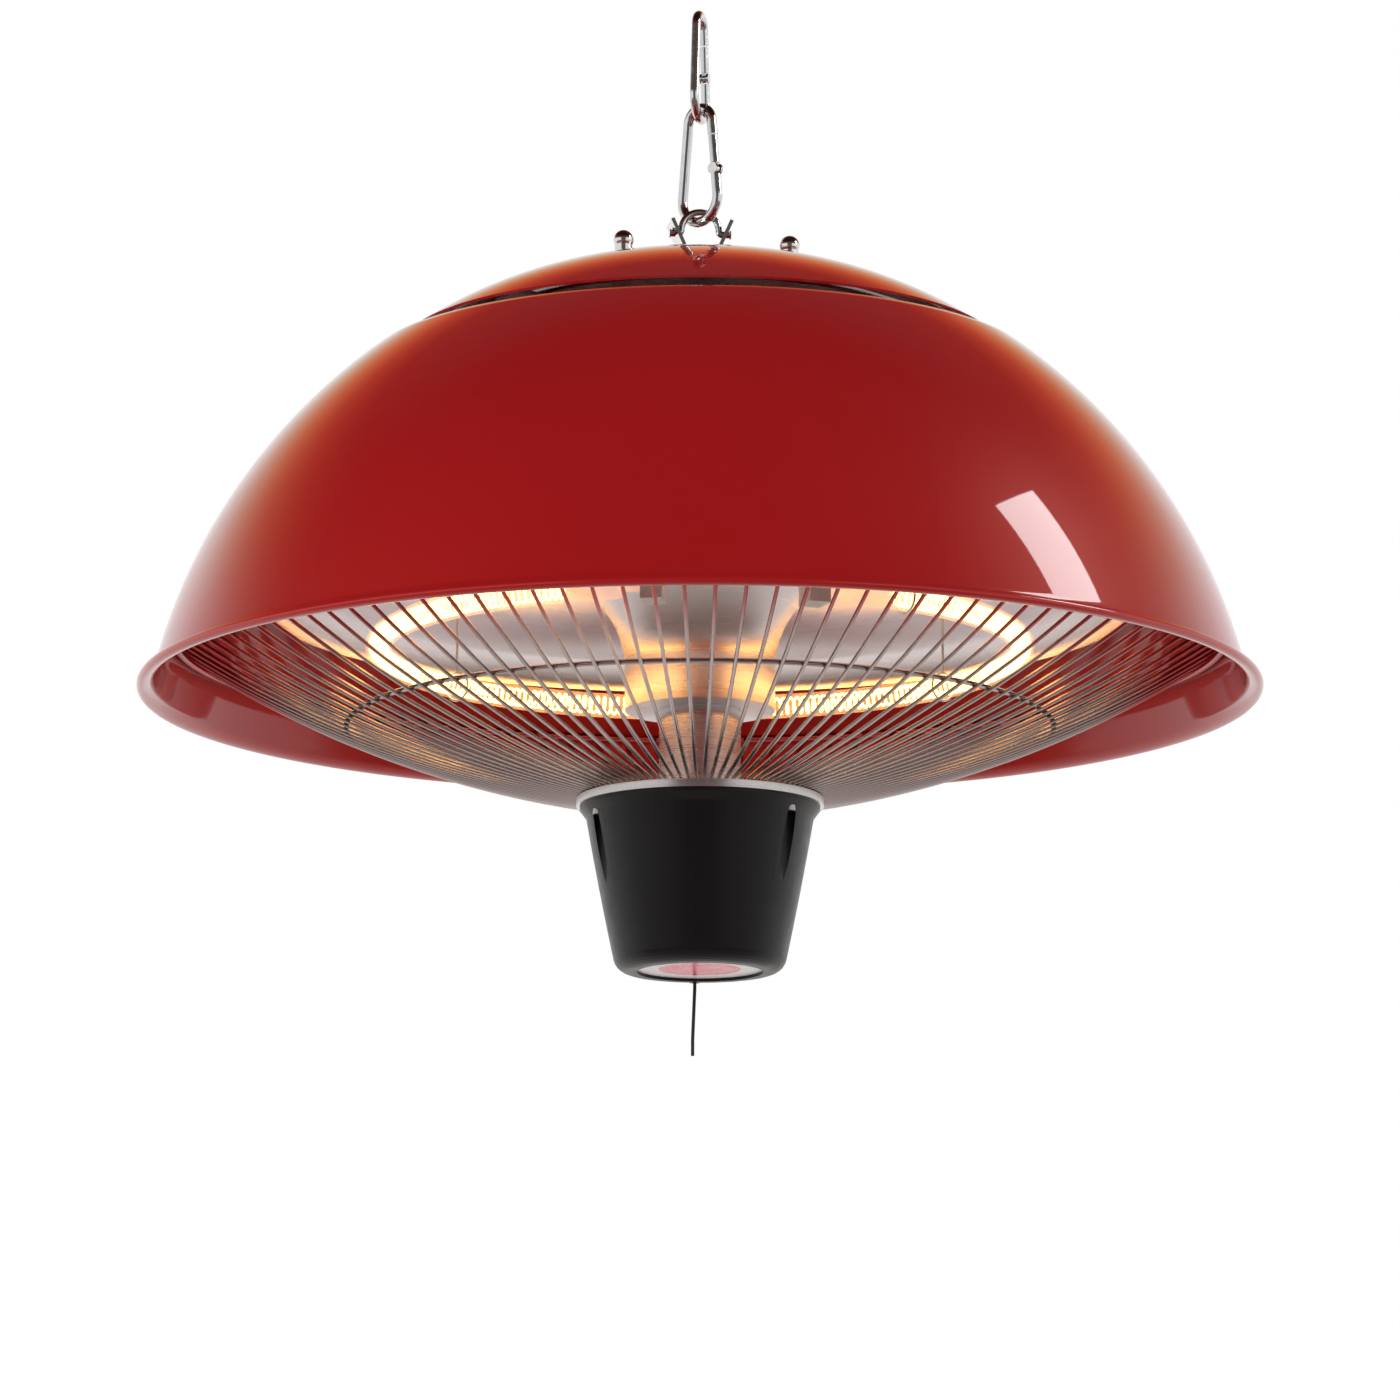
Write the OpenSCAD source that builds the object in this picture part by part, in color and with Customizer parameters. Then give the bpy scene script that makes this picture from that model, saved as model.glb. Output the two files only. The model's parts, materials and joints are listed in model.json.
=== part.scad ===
// Hanging ring heater: a domed shade with a vented cap, a halogen ring under a trumpet reflector,
// a wire guard and a control housing with a pull switch, carried by two snap hooks and a bail.
// Millimetres. The origin is the inside of the upper hook's top bend, where the lamp hangs. +Z is up.

/* [Shade] */
// Outside diameter of the rim
rim_d = 426; // [424:0.5:428]
// Height of the dome from rim to its round opening
shade_h = 129.2; // [128.2:0.1:130.2]
// Radius of the dome's outer curve
shade_curve_r = 218.7; // [217.7:0.1:219.7]
// Sheet thickness of shade and cap
sheet_t = 1; // [0.8:0.1:1.2]

/* [Cap] */
// Outside radius of the cap
cap_r = 113.5; // [112.5:0.5:114.5]
// Radius of the cap's outer curve
cap_curve_r = 177; // [175:0.5:180]
// Height of the cap's crown above the lamp's datum plane
crown_z = 165.5; // [165:0.5:166]
// Radius of the circle that the three studs stand on
stud_ring_r = 36.9; // [35:0.1:39]

/* [Heater] */
// Radius of the halogen ring's centre line
lamp_ring_r = 122; // [119:0.5:124]
// Outside diameter of the quartz tube
quartz_d = 9.6; // [8:0.2:11]
// Radius of the reflector's rim
pan_r = 165; // [162:0.5:168]
// Radius of the reflector's trumpet shaped centre
trumpet_r = 28.5; // [27:0.5:30]

/* [Guard] */
// Number of radial wires
wire_count = 100; // [60:4:104]
// Diameter of a radial wire
wire_d = 1.5; // [1.2:0.1:1.6]
// Radius of the guard's outer ring
guard_r = 197.5; // [190:0.5:198]
// Radius of the guard's middle ring
guard_mid_r = 133.5; // [125:0.5:140]

/* [Control housing] */
// Radius of the housing just below its lip
housing_r = 43; // [42:0.5:44]
// Length of the housing
housing_h = 63; // [62.5:0.5:64]
// Radius of the white window
window_r = 23.8; // [22:0.1:24]
// Radius of the red receiver window
receiver_r = 15.5; // [10:0.5:18]

/* [Suspension] */
// Length of the upper snap hook
upper_hook_len = 45; // [44:0.5:47]
// Wire diameter of the upper snap hook
upper_wire_d = 3.6; // [3.4:0.1:3.8]
// Length of the lower snap hook
lower_hook_len = 49; // [47:0.5:50]
// Wire diameter of the lower snap hook
lower_wire_d = 4; // [3.8:0.1:4.2]
// Centre line radius of the hanging bail's arch
bail_r = 7.2; // [7:0.1:7.6]
// Wire diameter of the hanging bail
bail_wire_d = 2.6; // [2.4:0.1:2.8]

/* [Hidden] */

fine = 128;
small = 40;

// Turn of the hanger, cap screws and halogen ring about the vertical, and of the housing
top_turn = 8;
lamp_turn = 6;
housing_turn = -6.3;

// Hook planes: angle of each hook's flat side from the X axis
upper_hook_turn = 75;
lower_hook_turn = -43;

// Chain of heights, from the hanging point down
link_gap = 0.5;
upper_top_z = upper_wire_d;
upper_bottom_z = upper_top_z - upper_hook_len;
lower_top_z = upper_bottom_z + upper_wire_d + link_gap + lower_wire_d;
lower_bottom_z = lower_top_z - lower_hook_len;
bail_top_z = lower_bottom_z + lower_wire_d + link_gap + bail_wire_d;
bail_bend_r = 1.4;
bail_pin_z = bail_top_z - bail_wire_d / 2 - bail_r - bail_bend_r;
bail_pin_above_rim = 178.2;
rim_z = bail_pin_z - bail_pin_above_rim;

// Shade profile, heights above the lamp's datum plane
rim_r = rim_d / 2;
rim_low_z = -2.7;
shade_top_z = rim_low_z + shade_h;
shade_centre = [rim_r - 218.8, -47.8];
flare_r = 5;

// Cap profile
cap_flat_r = 12;
cap_centre = [cap_flat_r, crown_z - cap_curve_r];

// Mounting parts
plate_z = 141;
plate_t = 1.2;
plate_r = 80;
stud_d = 5;
stud_head_h = 3.2;
arm_t = 1.4;
spacer_top_z = 161.8;
strut_r = 72;
strut_d = 5;
shield_z = 76;
shield_r = 108;

// Reflector profile
sheet_r_t = 0.8;
trumpet_bottom_z = -8;
trumpet_bend_z = 8;
trumpet_bend_r = 38;
pan_rim_z = 31;
tube_d = 31;
tube_wall = 1.5;

// Halogen ring
lamp_z = 16;
quartz_wall = 0.8;
lamp_gap_half = 16;
pinch_angle = 14;
coil_d = 7.6;
clip_angles = [38, 129, 231];

// Guard profile: one arc from the collar out to the outer ring
guard_curve_r = 400;
collar_r = 46.8;
collar_top_z = -42;
collar_h = 3;
collar_web_t = 1.2;
collar_rim_w = 3;
guard_ring_d = 3;
guard_mid_d = 2;
guard_in = [45, collar_top_z + wire_d / 2];
guard_out = [guard_r, 17.5];

// Housing
housing_top_z = collar_top_z - collar_h;
housing_bottom_z = housing_top_z - housing_h;
housing_curve_r = 1500;
housing_taper = 9.9;
housing_wall = 2.5;
lip_r = housing_r + 2.4;
lip_h = 4.4;
floor_z = housing_bottom_z + housing_wall;
channel_r = 3;
channel_ring_r = 41;
window_recess = 1.2;
bottom_fillet = 6;
housing_centre = [housing_r, housing_top_z - lip_h] - housing_curve_r * [cos(housing_taper), -sin(housing_taper)];
board_z = housing_top_z - 22;

// Pull switch
cord_x = -2;
cord_y = 27;
cord_d = 1.3;
bush_r = 2;
bush_bore_r = 1.1;
plunger_r = 1.5;
plunger_head_r = 2.8;
plunger_head_h = 2;
plunger_bottom_z = -100;
switch_z = -94;
switch_h = 16;
switch_floor_t = 2.5;
spring_z = switch_z + switch_floor_t;
spring_h = 6.5;

// Route of the pull cord below the plunger, in the lamp's frame, ending where it is cut
cord_route = [
    [-2.0, 27.0, -100.0], [-2.0, 27.0, -102.5], [-2.0, 27.0, -105.0], [-2.0, 27.0, -107.5],
    [-2.0, 27.0, -110.0], [-2.1, 27.0, -112.5], [-2.2, 27.0, -115.0], [-2.3, 27.0, -117.5],
    [-2.4, 26.9, -120.0], [-2.5, 26.9, -122.5], [-2.6, 26.9, -125.0], [-2.7, 26.9, -127.5],
    [-2.8, 26.8, -130.0], [-2.8, 26.8, -132.5], [-2.8, 26.8, -136.0]
];

// ---------- shared shapes ----------

// Places its children in the lamp's frame: z = 0 is a datum plane just above the rim's lower edge
module at_rim() { translate([0, 0, rim_z]) children(); }

// Three copies, 120 degrees apart. The middle of a pair faces -Y, before the turn about the vertical.
module three_fold(turn) {
    for (i = [-1:1]) rotate([0, 0, turn + 60 + i * 120]) children();
}

// A closed round wire ring in the horizontal plane
module wire_ring(r, d, fn = fine) {
    rotate_extrude($fn = fn) translate([r, 0]) circle(d = d, $fn = small);
}

// Points of an arc in a profile, from angle a0 to a1
function arc(c, r, a0, a1, n) =
    [for (i = [0:n]) let(a = a0 + (a1 - a0) * i / n) c + r * [cos(a), sin(a)]];

// Radius and angle on a profile arc at a given height
function arc_x(c, r, z) = c[0] + sqrt(r * r - (z - c[1]) * (z - c[1]));
function arc_angle(c, r, z) = asin((z - c[1]) / r);

// ---------- suspension ----------

// Centre line of a pear shaped hook of length len and wire d, local X to the right, Z up,
// with its top outer edge at z = 0
function hook_big_r(len) = len * 0.185;
function hook_small_r(len) = len * 0.125;
function hook_big_z(len, d) = -len + d / 2 + hook_big_r(len);
function hook_small_z(len, d) = -d / 2 - hook_small_r(len);
// Angle by which the straight legs lean
function hook_lean(len, d) =
    asin((hook_big_r(len) - hook_small_r(len)) / (hook_small_z(len, d) - hook_big_z(len, d)));
// Place of the gate's pin and its tip along the right leg, as a share of the leg from below
gate_pin_share = 0.33;
gate_tip_share = 0.78;
nose_gap = 0.02;
function leg_foot(len, d) = let(a = hook_lean(len, d), r = hook_big_r(len))
    [r * cos(a), hook_big_z(len, d) + r * sin(a)];
function leg_head(len, d) = let(a = hook_lean(len, d), r = hook_small_r(len))
    [r * cos(a), hook_small_z(len, d) + r * sin(a)];
function leg_point(len, d, share) =
    leg_foot(len, d) * (1 - share) + leg_head(len, d) * share;

// A straight round bar between two points of the hook's plane, a hair thinner than the bends it meets
bar_slack = 0.06;
module bar(p, q, d) {
    v = q - p;
    translate([p[0], 0, p[1]]) rotate([0, atan2(v[0], v[1]), 0])
        cylinder(d = d - bar_slack, h = norm(v), $fn = small);
}

// A bend of the hook's wire about centre c, from angle a0 over an angle of sweep
module bend(c, r, a0, sweep, d) {
    translate([c[0], 0, c[1]]) rotate([90, 0, 0]) rotate([0, 0, a0])
        rotate_extrude(angle = sweep, $fn = fine) translate([r, 0]) circle(d = d, $fn = small);
}

// The bent wire frame: left leg, both bends, a nose above and a forked foot below the gate
module hook_frame(len, d) {
    a = hook_lean(len, d);
    big = [0, hook_big_z(len, d)];
    top = [0, hook_small_z(len, d)];
    foot = leg_foot(len, d);
    head = leg_head(len, d);
    pin = leg_point(len, d, gate_pin_share);
    nose = leg_point(len, d, gate_tip_share + nose_gap);
    cheek = d * 0.27;
    difference() {
        union() {
            bend(big, hook_big_r(len), 180 - a, 180 + 2 * a, d);
            bar([-foot[0], foot[1]], [-head[0], head[1]], d);
            bend(top, hook_small_r(len), a, 180 - 2 * a, d);
            bar(foot, pin, d);
            translate([pin[0], 0, pin[1]]) rotate([90, 0, 0])
                cylinder(d = d * 1.14, h = d * 0.94, center = true, $fn = small);
            bar(nose, head, d);
        }
        // slot for the gate's tongue
        translate([pin[0], 0, pin[1]]) rotate([0, -a, 0])
            translate([-d, -(d / 2 - cheek), -d * 0.62]) cube([2 * d, d - 2 * cheek, d * 2]);
        translate([pin[0], 0, pin[1]]) rotate([90, 0, 0])
            cylinder(d = d * 0.36, h = 2 * d, center = true, $fn = small);
    }
}

// The gate: a round bar with a drilled tongue at its foot
module hook_gate(len, d) {
    a = hook_lean(len, d);
    pin = leg_point(len, d, gate_pin_share);
    tip = leg_point(len, d, gate_tip_share);
    tongue = d * 0.36;
    bar_len = norm(tip - pin) - d * 0.62;
    translate([pin[0], 0, pin[1]]) rotate([0, -a, 0]) {
        translate([0, 0, d * 0.62]) cylinder(d = d * 0.9, h = bar_len, $fn = small);
        difference() {
            union() {
                rotate([90, 0, 0]) cylinder(d = d * 0.9, h = tongue, center = true, $fn = small);
                translate([-d * 0.3, -tongue / 2, 0]) cube([d * 0.6, tongue, d * 0.7]);
            }
            rotate([90, 0, 0]) cylinder(d = d * 0.36 + 0.1, h = d, center = true, $fn = small);
        }
    }
}

module hook_pin(len, d) {
    pin = leg_point(len, d, gate_pin_share);
    translate([pin[0], 0, pin[1]]) rotate([90, 0, 0])
        cylinder(d = d * 0.36, h = d * 0.94, center = true, $fn = small);
}

module place_upper() { translate([0, 0, upper_top_z]) rotate([0, 0, upper_hook_turn]) children(); }
module place_lower() { translate([0, 0, lower_top_z]) rotate([0, 0, lower_hook_turn]) children(); }

module upper_hook() { color("silver") place_upper() hook_frame(upper_hook_len, upper_wire_d); }
module upper_gate() { color("silver") place_upper() hook_gate(upper_hook_len, upper_wire_d); }
module upper_gate_pin() { color("silver") place_upper() hook_pin(upper_hook_len, upper_wire_d); }
module lower_hook() { color("silver") place_lower() hook_frame(lower_hook_len, lower_wire_d); }
module lower_gate() { color("silver") place_lower() hook_gate(lower_hook_len, lower_wire_d); }
module lower_gate_pin() { color("silver") place_lower() hook_pin(lower_hook_len, lower_wire_d); }

// Two ends of the bail: its bend and the pin that turns in an ear
module bail_end() {
    pin_len = 3.3;
    head_h = 0.5;
    translate([bail_r + bail_bend_r, 0, bail_pin_z + bail_bend_r]) rotate([90, 0, 0])
        rotate([0, 0, 180]) rotate_extrude(angle = 90, $fn = small)
            translate([bail_bend_r, 0]) circle(d = bail_wire_d, $fn = small);
    translate([bail_r + bail_bend_r, 0, bail_pin_z]) rotate([0, 90, 0]) {
        cylinder(d = bail_wire_d, h = pin_len, $fn = small);
        translate([0, 0, pin_len - head_h]) cylinder(d = bail_wire_d + 0.8, h = head_h, $fn = small);
    }
}

module hanging_bail() {
    color("silver") rotate([0, 0, top_turn]) {
        bend([0, bail_pin_z + bail_bend_r], bail_r, 0, 180, bail_wire_d);
        bail_end();
        mirror([1, 0, 0]) bail_end();
    }
}

// Folded strip: a flat foot and two ears that flare outward, each drilled for a pin of the bail
ear_lean = 24;
ear_t = 1.4;
ear_w = 14;
ear_inner_x = 8.8;
ear_above_pin = 5;
pin_clearance = 0.1;
ear_foot_x = ear_inner_x - (bail_pin_above_rim - crown_z) * tan(ear_lean);

ear_len = (bail_pin_above_rim - crown_z) / cos(ear_lean) + ear_above_pin;

// Right half of the strip's outline, from its lower corner round to its upper one
function ear_outline() =
    let(up = [sin(ear_lean), cos(ear_lean)], out = [cos(ear_lean), -sin(ear_lean)],
        inner_tip = [ear_foot_x, crown_z] + ear_len * up)
    [[ear_foot_x + ear_t / cos(ear_lean), crown_z], inner_tip + ear_t * out, inner_tip,
     [ear_foot_x + ear_t * tan(ear_lean), crown_z + ear_t]];
function flipped(list) = [for (i = [len(list) - 1:-1:0]) [-list[i][0], list[i][1]]];

module hanger_bracket() {
    color("silver") at_rim() rotate([0, 0, top_turn]) difference() {
        translate([0, ear_w / 2, 0]) rotate([90, 0, 0]) linear_extrude(ear_w)
            polygon(concat(ear_outline(), flipped(ear_outline())));
        translate([0, 0, crown_z - 1]) cylinder(d = screw_d + 0.2, h = ear_t + 2, $fn = small);
        translate([0, 0, bail_pin_above_rim]) rotate([0, 90, 0])
            cylinder(d = bail_wire_d + 2 * pin_clearance, h = 40, center = true, $fn = small);
    }
}

// Screw through bracket and cap, with its hex nut below the cap
screw_d = 3.2;
screw_head_d = 5;
screw_head_h = 1.8;
nut_h = 2.4;
module hanger_screw() {
    color("gray") at_rim() {
        translate([0, 0, crown_z + ear_t]) cylinder(d = screw_head_d, h = screw_head_h, $fn = small);
        translate([0, 0, crown_z - sheet_t - nut_h - 0.8])
            cylinder(d = screw_d, h = nut_h + sheet_t + ear_t + 0.8, $fn = small);
        translate([0, 0, crown_z - sheet_t - nut_h]) cylinder(d = 6.4, h = nut_h, $fn = 6);
    }
}

// ---------- cap and what it stands on ----------

cap_rim_z = cap_centre[1] + sqrt(pow(cap_curve_r, 2) - pow(cap_r - cap_flat_r, 2));

// Everything below the cap's outer surface
module cap_core() {
    a = arc_angle(cap_centre, cap_curve_r, cap_rim_z);
    rotate_extrude($fn = fine)
        polygon(concat([[0, cap_rim_z - 5], [cap_r, cap_rim_z - 5]],
                       arc(cap_centre, cap_curve_r, a, 90, 16), [[0, crown_z]]));
}

gland_x = 28;
gland_y = 44;
gland_bore_r = 4.2;
gland_thread_d = 12;

module cap() {
    a = arc_angle(cap_centre, cap_curve_r, cap_rim_z);
    color([0.66, 0.09, 0.1]) at_rim() difference() {
        rotate_extrude($fn = fine)
            polygon(concat(arc(cap_centre, cap_curve_r, a, 90, 16), [[0, crown_z]],
                           [[0, crown_z - sheet_t]],
                           arc(cap_centre, cap_curve_r - sheet_t, 90, a, 16)));
        three_fold(top_turn) translate([0, -stud_ring_r, 0])
            cylinder(d = stud_d + 0.4, h = crown_z + 10, $fn = small);
        cylinder(d = screw_d + 0.2, h = crown_z + 10, $fn = small);
        translate([gland_x, gland_y, 0]) cylinder(d = gland_thread_d + 0.4, h = crown_z + 10, $fn = small);
    }
}

nut_seat_z = crown_z - 0.4;
dome_d = 7.8;
dome_z = 170;
module dome_nuts() {
    color("silver") at_rim() three_fold(top_turn) translate([0, -stud_ring_r, 0]) difference() {
        union() {
            translate([0, 0, nut_seat_z]) cylinder(d = 6.8, h = dome_z - nut_seat_z, $fn = small);
            translate([0, 0, dome_z]) sphere(d = dome_d, $fn = 64);
        }
        translate([0, 0, nut_seat_z - 1]) cylinder(d = stud_d, h = 4, $fn = small);
    }
}

module nut_washers() {
    color("dimgray") at_rim() difference() {
        three_fold(top_turn) translate([0, -stud_ring_r, crown_z - 3.5]) difference() {
            cylinder(d = 9.4, h = 3.5 - 0.4, $fn = small);
            translate([0, 0, -1]) cylinder(d = stud_d, h = 6, $fn = small);
        }
        cap_core();
    }
}

stud_head_z = plate_z - arm_t - stud_head_h;
module studs() {
    color("gray") at_rim() three_fold(top_turn) translate([0, -stud_ring_r, 0]) {
        translate([0, 0, stud_head_z]) cylinder(d = 9, h = stud_head_h, $fn = 6);
        translate([0, 0, stud_head_z]) cylinder(d = stud_d, h = nut_seat_z + 3 - stud_head_z, $fn = small);
    }
}

module spacers() {
    color("dimgray") at_rim() three_fold(top_turn) translate([0, -stud_ring_r, plate_z + plate_t])
        difference() {
            cylinder(d = 8, h = spacer_top_z - plate_z - plate_t, $fn = small);
            translate([0, 0, -1]) cylinder(d = stud_d + 0.2, h = 30, $fn = small);
        }
}

// Inlet for the mains cable, on the far side of the cap
gland_low_z = 150;
gland_flange_z = 163.5;
gland_hex_z = 168;
gland_top_z = 173;
module cable_gland() {
    color([0.1, 0.1, 0.1]) at_rim() translate([gland_x, gland_y, 0]) difference() {
        union() {
            translate([0, 0, gland_low_z])
                cylinder(d = gland_thread_d, h = gland_flange_z - gland_low_z + 1, $fn = small);
            difference() {
                translate([0, 0, gland_flange_z - 5]) cylinder(d = 17, h = 5, $fn = small);
                translate([-gland_x, -gland_y, 0]) cap_core();
            }
            translate([0, 0, gland_flange_z])
                cylinder(d = 16, h = gland_hex_z - gland_flange_z, $fn = 6);
            translate([0, 0, gland_hex_z])
                cylinder(d1 = 13.5, d2 = 11, h = gland_top_z - gland_hex_z, $fn = small);
        }
        translate([0, 0, gland_low_z - 1])
            cylinder(r = gland_bore_r, h = gland_top_z - gland_low_z + 2, $fn = small);
    }
}

gland_nut_z = 153.5;
module gland_nut() {
    color([0.12, 0.12, 0.12]) at_rim() translate([gland_x, gland_y, gland_nut_z]) difference() {
        cylinder(d = 17, h = 3.5, $fn = 6);
        translate([0, 0, -1]) cylinder(d = gland_thread_d, h = 6, $fn = small);
    }
}

// ---------- terminal box ----------

box_x = -4;
box_w = 32;
box_l = 30;
box_h = 13.5;
box_wall = 1.5;
box_lid_h = 3;
box_z = plate_z + plate_t;
module terminal_box() {
    color([0.1, 0.1, 0.1]) at_rim() translate([box_x, 0, box_z]) difference() {
        translate([-box_w / 2, -box_l / 2, 0]) cube([box_w, box_l, box_h]);
        translate([-box_w / 2 + box_wall, -box_l / 2 + box_wall, box_wall])
            cube([box_w - 2 * box_wall, box_l - 2 * box_wall, box_h]);
        translate([-box_x, 0, -1]) cylinder(r = 7, h = box_wall + 2, $fn = small);
        translate([box_w / 2 - 2, 8, 8]) rotate([0, 90, 0]) cylinder(d = 8, h = 4, $fn = small);
    }
}

module terminal_box_lid() {
    color([0.14, 0.14, 0.14]) at_rim() translate([box_x, 0, box_z + box_h])
        translate([-box_w / 2, -box_l / 2, 0]) cube([box_w, box_l, box_lid_h]);
}

block_w = 9;
block_l = 20;
block_h = 8;
module terminal_block() {
    color([0.9, 0.88, 0.82]) at_rim() translate([box_x - 9, 0, box_z + box_wall]) difference() {
        translate([-block_w / 2, -block_l / 2, 0]) cube([block_w, block_l, block_h]);
        for (i = [-1:1]) {
            translate([0, i * 6, block_h - 4]) cylinder(d = 2.6, h = 5, $fn = small);
            translate([-block_w, i * 6, 2.2]) rotate([0, 90, 0])
                cylinder(d = 2.4, h = 2 * block_w, $fn = small);
        }
    }
}

// ---------- plate, arms and shade ----------

module mounting_plate() {
    color("lightgray") at_rim() translate([0, 0, plate_z]) difference() {
        cylinder(r = plate_r, h = plate_t, $fn = fine);
        translate([0, 0, -1]) cylinder(r = tube_d / 2 - tube_wall, h = plate_t + 2, $fn = small);
        three_fold(top_turn) translate([0, -stud_ring_r, -1])
            cylinder(d = stud_d + 0.2, h = plate_t + 2, $fn = small);
    }
}

// Arms under the plate, bent down to lie against the inside of the shade below its opening
arm_w = 16;
arm_in_r = 28;
tab_lift = 0.2;
module shade_arms() {
    inner_r = shade_curve_r - sheet_t - tab_lift;
    knee = [95, plate_z];
    toe = [118, 124];
    a0 = arc_angle(shade_centre, inner_r, 121);
    a1 = arc_angle(shade_centre, inner_r, 110);
    top = concat([[arm_in_r, plate_z], knee, toe], arc(shade_centre, inner_r, a0, a1, 4));
    low = concat(arc(shade_centre, inner_r - arm_t, a1, a0, 4),
                 [toe - [arm_t / 2, arm_t], knee - [arm_t / 2, arm_t], [arm_in_r, plate_z - arm_t]]);
    color("gray") at_rim() three_fold(top_turn) rotate([0, 0, -90]) difference() {
        translate([0, arm_w / 2, 0]) rotate([90, 0, 0]) linear_extrude(arm_w) polygon(concat(top, low));
        translate([stud_ring_r, 0, plate_z - 5]) cylinder(d = stud_d + 0.2, h = 10, $fn = small);
    }
}

// The rim: the sheet flares outward and rolls back on itself in a hem
flare_reach = shade_curve_r - sheet_t + flare_r;
flare_z = rim_low_z + flare_r;
flare_centre = [arc_x(shade_centre, flare_reach, flare_z), flare_z];
flare_a = arc_angle(shade_centre, flare_reach, flare_z);
hem_r = rim_r - flare_centre[0];
hem_centre = [flare_centre[0], rim_low_z + hem_r];
hem_notch = hem_centre + hem_r * [-1.1, 0.35];

module shade() {
    top_a = arc_angle(shade_centre, shade_curve_r, shade_top_z);
    in_top_a = arc_angle(shade_centre, shade_curve_r - sheet_t, shade_top_z);
    outside = concat(arc(shade_centre, shade_curve_r, top_a, flare_a, 32), [hem_notch],
                     arc(hem_centre, hem_r, 130, -80, 12));
    inside = concat(arc(flare_centre, flare_r, 270, 180 + flare_a, 8),
                    arc(shade_centre, shade_curve_r - sheet_t, flare_a + 0.5, in_top_a, 32));
    color([0.62, 0.08, 0.09]) at_rim() rotate_extrude($fn = 180) polygon(concat(outside, inside));
}

module heat_shield() {
    color("lightgray") at_rim() translate([0, 0, shield_z]) difference() {
        cylinder(r = shield_r, h = 0.8, $fn = fine);
        translate([0, 0, -1]) cylinder(d = tube_d + 0.4, h = 3, $fn = small);
        three_fold(top_turn + 60) translate([0, -strut_r, -1]) cylinder(d = strut_d, h = 3, $fn = small);
    }
}

// ---------- reflector and halogen ring ----------

pan_top_z = trumpet_bend_z + trumpet_bend_r;
pan_bend_r = 14;
pan_centre = [pan_r - pan_bend_r - 0.4, pan_rim_z - 3.5];
pan_flat_in = [trumpet_r + trumpet_bend_r, pan_top_z];
pan_flat_out = pan_centre + pan_bend_r * [cos(98), sin(98)];

// Height of the pan's lower surface on its flat stretch
function pan_z(r) = pan_top_z
    + (pan_flat_out[1] - pan_top_z) * (r - pan_flat_in[0]) / (pan_flat_out[0] - pan_flat_in[0]);

// Lower surface of the reflector, moved outward along its normal by t
function reflector_line(t) = concat(
    [[trumpet_r - t, trumpet_bottom_z]],
    arc([trumpet_r + trumpet_bend_r, trumpet_bend_z], trumpet_bend_r + t, 180, 90, 14),
    arc(pan_centre, pan_bend_r + t, 98, 12, 10));
function reversed(list) = [for (i = [len(list) - 1:-1:0]) list[i]];

module reflector() {
    color([0.85, 0.83, 0.84]) at_rim() rotate_extrude($fn = fine)
        polygon(concat(reflector_line(0), reversed(reflector_line(sheet_r_t))));
}

module reflector_base() {
    color([0.8, 0.79, 0.8]) at_rim() translate([0, 0, trumpet_bottom_z]) difference() {
        cylinder(r = trumpet_r - sheet_r_t - 0.05, h = sheet_r_t, $fn = fine);
        translate([0, 0, -1]) cylinder(d = tube_d + 0.2, h = 3, $fn = 64);
    }
}

module reflector_struts() {
    low = pan_top_z + sheet_r_t;
    color("gray") at_rim() three_fold(top_turn + 60) translate([0, -strut_r, low])
        cylinder(d = strut_d, h = plate_z - low, $fn = small);
}

lead_z = 66;
lead_hole_d = 4;
module centre_tube() {
    low = housing_top_z;
    color([0.75, 0.73, 0.74]) at_rim() difference() {
        translate([0, 0, low]) cylinder(d = tube_d, h = plate_z - low, $fn = 64);
        translate([0, 0, low - 1]) cylinder(d = tube_d - 2 * tube_wall, h = plate_z - low + 2, $fn = 64);
        lead_angles() translate([0, 0, lead_z]) rotate([90, 0, 0])
            cylinder(d = lead_hole_d, h = tube_d, $fn = small);
    }
}

// Part of a ring about the vertical, from angle a0 over sweep, measured from the gap's centre
module ring_arc(a0, sweep, fn = fine) {
    rotate([0, 0, lamp_turn - 90 + a0]) rotate_extrude(angle = sweep, $fn = fn)
        translate([lamp_ring_r, 0]) children();
}

module quartz_ring() {
    a = lamp_gap_half + 4;
    color([0.9, 0.92, 0.95, 0.5]) at_rim() translate([0, 0, lamp_z]) ring_arc(a, 360 - 2 * a)
        difference() {
            circle(d = quartz_d, $fn = small);
            circle(d = quartz_d - 2 * quartz_wall, $fn = small);
        }
}

module heating_coil() {
    a = lamp_gap_half + pinch_angle;
    color([1, 0.75, 0.3]) at_rim() translate([0, 0, lamp_z]) ring_arc(a, 360 - 2 * a)
        circle(d = coil_d, $fn = 24);
}

// The two ends of the halogen ring, s = -1 and 1, at an angle from the gap's centre
module both_ends(angle) {
    for (s = [-1, 1]) rotate([0, 0, lamp_turn + s * angle]) translate([0, -lamp_ring_r, 0]) children();
}
module lead_angles() { for (s = [-1, 1]) rotate([0, 0, lamp_turn + s * lead_angle]) children(); }

module tube_ends() {
    color([0.85, 0.88, 0.9]) at_rim() translate([0, 0, lamp_z]) both_ends(lamp_gap_half + 2)
        cube([7.4, 9, 3], center = true);
}

holder_w = 8;
holder_l = 12;
holder_angle = lamp_gap_half - 2;
lead_angle = holder_angle;
module end_holders() {
    stem_d = 6;
    stem_h = pan_z(lamp_ring_r + stem_d / 2) - lamp_z;
    color([0.93, 0.91, 0.86]) at_rim() translate([0, 0, lamp_z]) both_ends(holder_angle) difference() {
        union() {
            translate([-holder_w / 2, -holder_l / 2, -6]) cube([holder_w, holder_l, 12]);
            cylinder(d = stem_d, h = stem_h, $fn = small);
        }
        cylinder(d = 2, h = 60, $fn = small);
    }
}

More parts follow.
